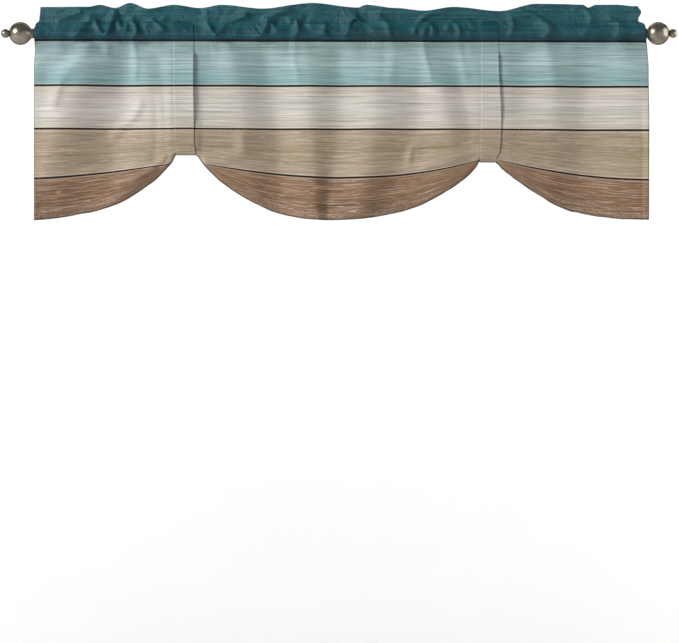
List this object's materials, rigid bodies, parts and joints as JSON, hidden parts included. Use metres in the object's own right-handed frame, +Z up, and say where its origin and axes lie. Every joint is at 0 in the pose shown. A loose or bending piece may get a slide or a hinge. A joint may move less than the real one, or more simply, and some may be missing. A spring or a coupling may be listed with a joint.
{
  "type": "tie-up valance on a curtain rod",
  "caption": "Tie-up valance of plank-striped cloth with a frilled heading and rod pocket, its lower edge lifted into swags by cloth straps, on a plain rod with ball finials.",
  "frame": {"origin": "on the rod's axis, at the middle of the rod", "axes": "+X along the rod to the viewer's right, +Y from the printed face towards the wall, +Z up"},
  "size_m": [1.4452, 0.0519, 0.4637],
  "materials": {
    "printed_cloth": "light polyester cloth printed with weathered planks in teal, aqua, cream, tan and brown",
    "strap_cloth": "the same printed cloth, folded and topstitched",
    "rod_metal": "satin nickel",
    "finial_metal": "warm satin nickel"
  },
  "bodies": {
    "root": {"valance_panel": "printed_cloth", "tie_strap_left": "strap_cloth", "tie_strap_right": "strap_cloth", "rod": "rod_metal", "finial_left": "finial_metal", "finial_right": "finial_metal"}
  },
  "joints": []
}
